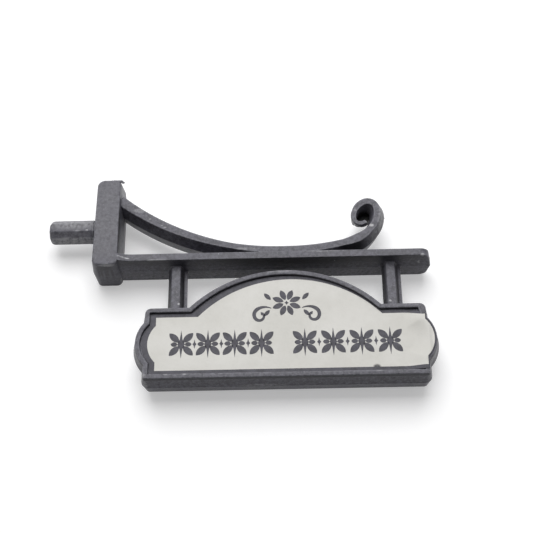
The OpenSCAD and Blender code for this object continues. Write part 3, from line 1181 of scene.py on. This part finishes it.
@dataclass
class HangerPosts:
    """Two eight-sided posts between the beam and the board, whose mould halves met a little out of line."""

    finish: PlasticFinish
    places: tuple[float, float] = (11.15, 38.75)
    radius: float = 1.3
    outline: tuple[Point, ...] = (
        (-0.7, -1.22),
        (0.37, -1.22),
        (0.8, -0.06),
        (1.22, 0.0),
        (1.24, 0.12),
        (0.86, 1.2),
        (-0.38, 1.2),
        (-0.84, 0.12),
        (-1.2, 0.04),
        (-1.25, -0.06),
    )
    top: float = -5.7
    bottom: float = -13.2
    beam_under: float = -6.14
    board_top: float = -12.22
    fillet: float = 0.17
    waist: float = 0.99

    def build(self) -> None:
        """Builds both posts."""
        left, right = self.places
        self.post("left", left, TonePatch((11.41, -1.2, -11.6), (0.2, 0.4, 0.22), 0.8))
        self.post("right", right, TonePatch((38.3, -1.2, -11.75), (0.22, 0.4, 0.2), 0.8))

    def post(self, side: str, x: float, tone_patch: TonePatch) -> None:
        """Draws one post up from the board to the beam.

        Args:
            side: left or right.
            x: place of its axis.
            tone_patch: a pale spot near its foot.
        """
        b = Blank("post_" + side)
        f, steps = self.fillet, 5
        b.section([(x + px, py) for px, py in self.outline], self.bottom, 0.04)
        low, high = self.board_top - self.bottom, self.beam_under - self.bottom
        flare = [f * (1 - math.sin(math.radians(90 * k / steps))) / self.radius for k in range(steps + 1)]
        rungs = [(low - 0.25, 1), (low - 0.2, 1 + f / self.radius)]
        rungs += [(low - 0.1 + f * k / steps, 1 + wide) for k, wide in enumerate(flare)]
        rungs += [(low + 2.0, 1), (high - 2.2, self.waist)]
        rungs += [(high - f + f * k / steps, self.waist + wide) for k, wide in enumerate(reversed(flare))]
        rungs += [(high + 0.05, 1), (self.top - self.bottom, 1)]
        b.draw_out((x, 0, self.bottom), (0, 0, 1), rungs)
        piece = b.done(angle=50)
        middle = (self.top + self.bottom) / 2
        # Painted shade down both side walls of the post
        walls = [TonePatch((x + px, -0.6, middle), (0.42, 1.2, 6.0), -0.85) for px in (-1.08, 0.68)]
        self.finish.dress(piece, [tone_patch, *walls])
        hand_over(piece, Slot.PLASTIC, "hanger_post_" + side)


@dataclass
class Board:
    """Arched board with a lobe on each side, and the raised rim round its face."""

    finish: PlasticFinish
    face: float = -2.1
    field_depth: float = -1.6
    back: float = 2.1
    rim: float = 0.57
    foot_corner: float = 0.5
    thick_corner: float = 0.33
    slot_x: tuple[float, float] = (41.9, 42.3)
    slot_z: tuple[float, float] = (-14.2, -12.9)

    def build(self) -> None:
        """Builds the board and its rim."""
        self.panel()
        self.rim_frame()

    def panel(self) -> None:
        """Builds the board behind the rim, with its drafted edges."""
        b = Blank("board_panel")
        rungs = [
            (self.field_depth + 0.002, -1.6),
            (self.field_depth, 0.085),
            (-0.14, 0.35),
            (-0.05, 0.36),
            (0.0, 0.398),
            (0.05, 0.36),
            (0.14, 0.35),
            (self.back - 0.14, 0.03),
            (self.back - 0.05, -0.01),
            (self.back - 0.01, -0.06),
            (self.back - 0.002, -0.14),
            (self.back, -0.5),
        ]
        b.loft(replace(BOARD, foot_corner=self.foot_corner), rungs, hollow=False)
        piece = b.done()
        tone_patches = [
            # Painted highlight on the left lobe's side
            TonePatch((6.3, -1.0, -17.6), (0.5, 1.4, 1.6), 0.5),
            TonePatch((7.4, -0.6, -22.5), (0.5, 0.9, 0.4), 0.35),
            # Painted light on the right lobe's side wall, as lit from the table
            TonePatch((43.1, -1.1, -19.8), (1.1, 1.5, 1.7), 0.3),
            TonePatch((22.0, -0.2, -22.6), (4.0, 0.35, 0.3), 0.25),
        ]
        self.finish.dress(piece, tone_patches)
        hand_over(piece, Slot.PLASTIC, "sign_board")

    def rim_frame(self) -> None:
        """Builds the raised rim, which is thicker where the slot beside the film ends on the right."""
        b = Blank("rim_frame")
        inner = -self.rim
        rungs = [
            (self.field_depth, 0.085),
            (self.face + 0.12, 0.02),
            (self.face + 0.05, -0.01),
            (self.face + 0.014, -0.055),
            (self.face + 0.004, -0.12),
            (self.face + 0.002, -0.2),
            (self.face, inner + 0.2),
            (self.face + 0.003, inner + 0.12),
            (self.face + 0.016, inner + 0.05),
            (self.face + 0.06, inner),
            (self.face + 0.14, inner - 0.02),
            (self.field_depth, inner - 0.05),
        ]
        b.loft(BOARD, rungs, hollow=True)
        (left, right), (low, high) = self.slot_x, self.slot_z
        b.pick(Kind.VERTS, lambda at, way: left < at.x < right and low < at.z < high)
        b.move(-self.thick_corner, 0, 0)
        piece = b.done()
        tone_patches = [
            TonePatch((10.06, -2.1, -21.75), (0.3, 0.3, 0.15), 0.8),
            TonePatch((12.45, -2.1, -21.6), (0.35, 0.3, 0.35), 0.7),
            TonePatch((36.3, -2.1, -21.7), (0.5, 0.3, 0.2), 0.3),
            TonePatch((7.2, -2.1, -21.9), (0.6, 0.3, 0.5), 0.35),
            TonePatch((24.0, -2.1, -7.6), (3.0, 0.3, 0.3), 0.25),
            # Painted shade all round the inner wall of the rim, below its face
            TonePatch((24.95, -1.7, -16.0), (60.0, 0.45, 40.0), -0.8),
        ]
        self.finish.dress(piece, tone_patches)
        hand_over(piece, Slot.PLASTIC, "board_rim")


@dataclass
class Label:
    """Thin printed film on the field of the board, whose right end climbs over the rim."""

    film: FilmFinish
    ink: InkFinish
    sheet: Plaque = replace(BOARD, width=35.9, lobe_out=1.05, centre=(25.3, -17.43))
    field: Plaque = replace(BOARD, width=36.1, lobe_out=1.0, centre=(25.55, -17.43))
    edge: float = -0.66
    border: float = -1.16
    climb_from: float = -3.0
    sag: float = 0.42
    slot_start: float = 39.0
    slot_end: float = 41.75
    flat: float = -1.7
    raised: float = -2.18
    thick: float = 0.08
    field_ring: int = 2
    climb_ring: int = 3

    def build(self) -> None:
        """Draws the flat part, the climb and the lap, and joins them."""
        b = Blank("label_film_sheet")
        self.flat_part(b)
        self.climb(b)
        b.pick(Kind.FACES, lambda at, way: True)
        bpy.ops.mesh.remove_doubles(threshold=JOIN)
        b.pick_all()
        bpy.ops.mesh.normals_make_consistent(inside=False)
        bpy.ops.object.mode_set(mode="OBJECT")
        bpy.ops.object.modifier_add(type="SOLIDIFY")
        modifier = b.obj.modifiers[-1]
        modifier.thickness, modifier.offset = self.thick, -1
        bpy.ops.object.modifier_apply(modifier=modifier.name)
        bpy.ops.object.mode_set(mode="EDIT")
        piece = b.done(angle=30)
        smudges_and_crease_shade = [
            TonePatch((36.15, -1.72, -21.1), (0.62, 1.2, 0.5), 1.0),
            # Painted shade along the crease where the film bends over the rim's inner edge
            TonePatch((43.0, -2.2, -17.5), (0.25, 0.5, 3.0), 0.12),
        ]
        piece.data.materials.append(self.film.material(smudges_and_crease_shade))
        piece.data.materials.append(self.ink.material())
        for face in piece.data.polygons:
            face.material_index = int(self.in_border(face.center / MM))
        hand_over(piece, Slot.FILM, "label")

    def drop(self, depth: float) -> float:
        """Returns how far the top of the film has slipped down where it has climbed to a depth."""
        return self.sag * (self.flat - depth) / (self.flat - self.raised)

    def in_border(self, at: Vector) -> bool:
        """Tells whether a place lies in the dark border of the film."""
        m = self.field.measures(self.border)
        x, z = abs(at.x - self.field.centre[0]), at.z - self.field.centre[1]
        low = self.drop(min(at.y, self.flat)) if at.x > self.slot_start else 0.0
        in_box = x < m.half_w and -m.half_h < z < m.half_h - low
        in_lobe = math.hypot(x - m.lobe_x, z) < m.lobe and x > m.lobe_x
        in_arch = math.hypot(x, z - m.arch_z) < m.arch and z > 0
        return not (in_box or in_lobe or in_arch)

    def right_side(self, b: Blank, outline: Plaque, grow: float, depth: float) -> None:
        """Draws the right side of an outline, from the film's foot up to its shoulder.

        Past the end of the slot inside the rim, the film is trimmed close to its pale field.

        Args:
            b: the film.
            outline: whose side it is.
            grow: how far outside that outline it lies.
            depth: its depth.
        """
        m, drop = outline.measures(grow), self.drop(depth)
        ox, oz = outline.centre
        high = low = self.sheet.measures(self.edge).half_h
        field = self.field.measures(self.border).half_h
        x = ox + m.half_w
        if x > self.slot_end:
            high = field + 0.04 - drop
        b.dot(x, depth, oz - low)
        b.line(x, oz - field)
        b.draw_lobe(outline, m, 1)
        b.line(x, oz + field - drop)
        b.line(x, oz + high)
        b.number_ring()

    def left_side(self, b: Blank, outline: Plaque, grow: float, end_x: float) -> None:
        """Draws an outline from the right end of its top, over the arch and round to its foot.

        Args:
            b: the film.
            outline: the film's edge or its pale field.
            grow: how far outside that outline it lies.
            end_x: where it starts and ends on the right.
        """
        m = outline.measures(grow)
        ox, oz = outline.centre
        b.dot(end_x, self.flat, oz + m.half_h)
        b.draw_arch(outline, m)
        b.line(ox - m.half_w, oz + m.half_h)
        b.draw_lobe(outline, m, -1)
        b.line(ox - m.half_w, oz - m.half_h)
        b.line(end_x, oz - m.half_h)
        b.number_ring()

    def flat_part(self, b: Blank) -> None:
        """Draws the dark border of the flat part and fills its pale field."""
        end_x = BOARD.centre[0] + BOARD.measures(self.climb_from).half_w
        self.left_side(b, self.sheet, self.edge, end_x)
        self.left_side(b, self.field, self.border, end_x)
        b.bridge(self.field_ring - 1, self.field_ring)

    def climb(self, b: Blank) -> None:
        """Draws the end of the film up the inside of the rim and over its face."""
        rungs = [
            (self.climb_from, self.flat),
            (-2.5, self.flat - 0.03),
            (-2.0, self.flat - 0.11),
            (-1.5, self.flat - 0.25),
            (-1.15, -2.05),
            (-0.9, -2.12),
            (-0.7, -2.155),
            (-0.5, self.raised),
        ]
        for grow, depth in rungs:
            self.right_side(b, BOARD, grow, depth)
        self.right_side(b, self.field, self.border, self.raised)
        self.right_side(b, self.sheet, self.edge, self.raised + 0.06)
        top = BOARD.centre[1] + self.sheet.measures(self.edge).half_h - 0.02
        b.pick(Kind.VERTS, lambda at, way: self.slot_start < at.x < self.slot_end and at.z > top)
        b.resize((1, 0, 1), (0, self.flat, 0))
        b.bridge(self.climb_ring, b.rings)
        self.fill_field(b)

    def fill_field(self, b: Blank) -> None:
        """Fills the pale field between the inside of the border and the start of the climb."""
        middle, tall = self.field.centre[1], self.field.measures(self.border).half_h + 0.01
        b.clear()
        b.use(Kind.EDGES)
        mesh = b.mesh()
        layer = b.layer(mesh, "ring")
        for edge in mesh.edges:
            rings = {vert[layer] for vert in edge.verts}
            inside = all(abs((b.obj.matrix_world @ vert.co).z - middle) < tall for vert in edge.verts)
            if rings == {self.field_ring} or (rings == {self.climb_ring} and inside):
                edge.select_set(True)
        b.show(mesh)
        bpy.ops.mesh.remove_doubles(threshold=JOIN)
        bpy.ops.mesh.edge_face_add()


@dataclass
class Ornament:
    """Printer's flowers in ink on the film: a rosette between two sprigs over two short rows."""

    ink: InkFinish
    depth: float = -1.712
    thick: float = 0.03
    top: Point = (25.15, -12.0)
    row_z: float = -17.55
    left_row: tuple[float, float] = (11.9, 3.35)
    right_row: tuple[float, float] = (27.35, 3.54)

    def build(self) -> None:
        """Builds the rosette and both rows."""
        self.rosette()
        self.row("flowers_left", *self.left_row)
        self.row("flowers_right", *self.right_row)

    def leaf(self, b: Blank, x: float, z: float, angle: float, length: float, width: float) -> None:
        """Draws and fills a pointed leaf.

        Args:
            b: the ornament.
            x, z: the leaf's base.
            angle: its direction in degrees, anticlockwise from +X.
            length: from base to tip.
            width: across its middle.
        """
        half, w, a = length / 2, width / 2, math.radians(angle)
        radius = (half * half + w * w) / (2 * w)
        turn = 2 * math.degrees(math.asin(half / radius))
        mx, mz = x + half * math.cos(a), z + half * math.sin(a)
        ox, oz = -math.sin(a) * (radius - w), math.cos(a) * (radius - w)
        b.dot(x, self.depth, z)
        b.arc(mx + ox, mz + oz, turn, 12)
        b.arc(mx - ox, mz - oz, turn, 12)
        self.fill(b)

    def lozenge(self, b: Blank, x: float, z: float, wide: float, tall: float) -> None:
        """Draws and fills a lozenge with hollow sides about a point."""
        b.dot(x, self.depth, z - tall / 2)
        for px, pz in ((0.36, -0.34), (1, 0), (0.36, 0.34), (0, 1), (-0.36, 0.34), (-1, 0), (-0.36, -0.34)):
            b.line(x + px * wide / 2, z + pz * tall / 2)
        b.line(x, z - tall / 2)
        self.fill(b)

    def fill(self, b: Blank) -> None:
        """Closes and fills the outline just drawn, and numbers it so that the next stands alone."""
        b.pick_new()
        bpy.ops.mesh.remove_doubles(threshold=JOIN)
        bpy.ops.mesh.edge_face_add()
        b.number_ring()

    def sprig(self, b: Blank, x: float, z: float, side: int) -> None:
        """Draws a scrolled stem and its leaves.

        Args:
            b: the ornament.
            x, z: where the stem starts.
            side: 1 for the right sprig and -1 for the left one.
        """
        start, heading = 0.1, 90 - side * 62
        a = math.radians(heading)
        out = (-math.sin(a) * start / 2, math.cos(a) * start / 2)
        b.dot(x + out[0], self.depth, z + out[1])
        b.line(x - out[0], z - out[1])
        b.pick_new()
        first = Bend(0, 0, start)
        chain = [
            Bend(-side * 1.7, -side * 62, 0.5, 8),
            Bend(-side * 0.95, -side * 95, 0.44, 8),
            Bend(-side * 0.58, -side * 150, 0.3, 9),
            Bend(-side * 0.34, -side * 90, 0.44, 6),
        ]
        b.sweep((x, z), heading, first, chain, self.depth)
        b.number_ring()

    def repeat(self, b: Blank, test: Test, pitch: float, times: int) -> None:
        """Copies part of the ornament along +X.

        Args:
            b: the ornament.
            test: chooses what is copied.
            pitch: distance from copy to copy.
            times: how many copies are added.
        """
        b.pick(Kind.VERTS, test)
        for _ in range(times):
            bpy.ops.mesh.duplicate_move(TRANSFORM_OT_translate={"value": (pitch, 0, 0)})

    def thicken(self, b: Blank) -> None:
        """Gives the flat shapes their thickness and finishes the piece."""
        b.pick(Kind.FACES, lambda at, way: True)
        b.extrude(0, self.thick, 0)
        piece = b.done(flat=False)
        piece.data.materials.append(self.ink.material())
        hand_over(piece, Slot.PLASTIC)

    def rosette(self) -> None:
        """Draws the rosette and its sprigs."""
        b = Blank("flower_top")
        x, z = self.top
        for k in range(8):
            a = math.radians(22.5 + 45 * k)
            self.leaf(b, x + 0.42 * math.cos(a), z + 0.42 * math.sin(a), 22.5 + 45 * k, 1.5, 0.74)
        self.lozenge(b, x, z, 0.6, 0.6)
        for side in (-1, 1):
            self.sprig(b, x + side * 1.95, z - 0.75, side)
            base = 0 if side > 0 else 180
            self.leaf(b, x + side * 2.15, z - 1.0, base - side * 50, 1.1, 0.5)
            self.leaf(b, x + side * 2.0, z + 0.45, base + side * 48, 1.25, 0.56)
        self.thicken(b)

    def row(self, name: str, x: float, pitch: float) -> None:
        """Draws one flower and a lozenge, and copies them along a row.

        Args:
            name: the piece's name.
            x: middle of the first flower.
            pitch: distance from flower to flower.
        """
        b = Blank(name)
        z = self.row_z
        self.lozenge(b, x, z, 0.95, 3.9)
        for side in (1, -1):
            self.leaf(b, x + 0.46 * side, z, 90 - 90 * side, 0.84, 0.62)
        for angle in (46, 134, 226, 314):
            a = math.radians(angle)
            self.leaf(b, x + 0.34 * math.cos(a), z + 0.34 * math.sin(a), angle, 1.8, 0.86)
        self.repeat(b, lambda at, way: True, pitch, 3)
        middle = x + pitch / 2
        self.lozenge(b, middle, z, 0.52, 1.3)
        self.repeat(b, lambda at, way: abs(at.x - middle) < 0.27 and abs(at.z - z) < 0.7, pitch, 2)
        self.thicken(b)


@dataclass(frozen=True)
class PhotoCamera:
    """Camera at the photograph's viewing angle, whose frame is 533 by 533."""

    lens: float = 83.63
    sensor: float = 36.0
    azimuth: float = 1.328
    elevation: float = -29.0
    roll: float = -0.577
    target: Place = (22.618, 0, -5.753)
    distance: float = 161.4

    def build(self) -> None:
        """Adds the camera and makes it the scene's."""
        az, el, roll = (math.radians(a) for a in (self.azimuth, self.elevation, self.roll))
        back = Vector((math.sin(az) * math.cos(el), -math.cos(az) * math.cos(el), math.sin(el)))
        right = Vector((math.cos(az), math.sin(az), 0))
        up = back.cross(right)
        turned = math.cos(roll) * right + math.sin(roll) * up
        upright = math.cos(roll) * up - math.sin(roll) * right
        bpy.ops.object.camera_add()
        camera = bpy.context.object
        camera.name = "photo_camera"
        camera.data.lens, camera.data.sensor_width = self.lens, self.sensor
        camera.data.clip_start, camera.data.clip_end = 0.002, 20
        place = Vector(metres(*self.target)) + back * self.distance * MM
        turn = Matrix((turned, upright, back)).transposed().to_4x4()
        camera.matrix_world = Matrix.Translation(place) @ turn
        bpy.context.scene.camera = camera


@dataclass(frozen=True)
class Studio:
    """Pale table behind the sign, one broad soft lamp over it, a weak one behind, and a white room."""

    middle: Place = (22, 0, -8)
    table_depth: float = 3.06
    table_size: float = 500.0
    lamp_way: Place = (-0.05, -0.82, 0.47)
    lamp_far: float = 450.0
    lamp_size: float = 400.0
    lamp_power: float = 2.15
    rear_way: Place = (0.0, 1.0, 0.32)
    rear_power: float = 0.8
    rear_size: float = 90.0
    room_low: float = 0.08
    room_high: float = 0.5
    table_colour: Colour = (0.74, 0.74, 0.745)
    table_lift: float = 0.36

    def build(self) -> None:
        """Builds the table, the lamps and the room."""
        self.table()
        self.lamp("soft_lamp", self.lamp_way, self.lamp_power, self.lamp_size)
        self.lamp("rear_lamp", self.rear_way, self.rear_power, self.rear_size)
        self.world()
        bpy.context.scene.view_settings.view_transform = "Standard"

    def table(self) -> None:
        """Adds the table top, which is seen only from its upper side."""
        x, _, z = self.middle
        centre = metres(x, self.table_depth, z)
        bpy.ops.object.select_all(action="DESELECT")
        bpy.ops.mesh.primitive_plane_add(size=self.table_size * MM, location=centre)
        top = bpy.context.object
        top.name = "table_top"
        bpy.ops.object.mode_set(mode="EDIT")
        bpy.ops.mesh.select_all(action="SELECT")
        bpy.ops.transform.rotate(value=math.radians(-90), orient_axis="X", center_override=centre)
        bpy.ops.object.mode_set(mode="OBJECT")
        if top.data.polygons[0].normal.y > 0:
            bpy.ops.object.mode_set(mode="EDIT")
            bpy.ops.mesh.flip_normals()
            bpy.ops.object.mode_set(mode="OBJECT")
        g = Graph(bpy.data.materials.new("table_white"))
        shade = tuple(c * 0.985 for c in self.table_colour)
        colour = g.mix(g.ramp(g.noise(g.places(), 0.05, 3, 0.5), 0.3, 0.7), self.table_colour, shade)
        diffuse = g.add("BsdfDiffuse", {"Color": colour}).outputs[0]
        lift = g.math("MULTIPLY", g.seen(), self.table_lift)
        glow = g.add("Emission", {"Color": (1, 1, 1, 1), "Strength": lift}).outputs[0]
        solid = g.add("AddShader", {0: diffuse, 1: glow}).outputs[0]
        behind = g.add("NewGeometry").outputs["Backfacing"]
        through = g.math("MAXIMUM", behind, g.add("LightPath").outputs["Is Shadow Ray"])
        clear = g.add("BsdfTransparent").outputs[0]
        mixed = g.add("MixShader", {0: through, 1: solid, 2: clear}).outputs[0]
        g.add("OutputMaterial", {0: mixed})
        top.data.materials.append(g.owner)
        top.select_set(False)

    def lamp(self, name: str, way: Place, power: float, size: float) -> None:
        """Adds one square soft lamp that looks at the sign.

        Args:
            name: the lamp's name.
            way: direction from the sign to the lamp.
            power: watts.
            size: side in millimetres.
        """
        direction = Vector(way).normalized()
        place = Vector(metres(*self.middle)) + direction * self.lamp_far * MM
        bpy.ops.object.light_add(type="AREA", location=place)
        lamp = bpy.context.object
        lamp.name = name
        lamp.rotation_euler = direction.to_track_quat("Z", "Y").to_euler()
        lamp.data.energy, lamp.data.size = power, size * MM
        lamp.select_set(False)

    def world(self) -> None:
        """Makes a room that lights softly, more from above, and is white where it is seen or mirrored."""
        world = bpy.data.worlds.new("white_room")
        bpy.context.scene.world = world
        g = Graph(world)
        way = g.add("SeparateXYZ", {0: g.add("TexCoord").outputs["Generated"]}).outputs["Z"]
        height = g.add("MapRange", {0: way, 1: -0.6, 2: 0.6, 3: self.room_low, 4: self.room_high})
        strength = g.add("MapRange", {0: g.seen(), 3: height.outputs[0], 4: 1.0})
        light = g.add("Background", {"Color": (1, 1, 1, 1), "Strength": strength.outputs[0]})
        g.add("OutputWorld", {0: light.outputs[0]})


def main() -> None:
    """Builds the studio and every piece in order."""
    logging.basicConfig(level=logging.INFO, format="%(message)s")
    bpy.ops.object.select_all(action="DESELECT")
    plastic, film, ink = PlasticFinish(), FilmFinish(), InkFinish()
    PhotoCamera().build()
    Studio().build()
    WallFixing(plastic).build()
    Beam(plastic).build()
    ScrollBrace(plastic).build()
    HangerPosts(plastic).build()
    Board(plastic).build()
    Label(film, ink).build()
    Ornament(ink).build()


if __name__ == "__main__":
    main()
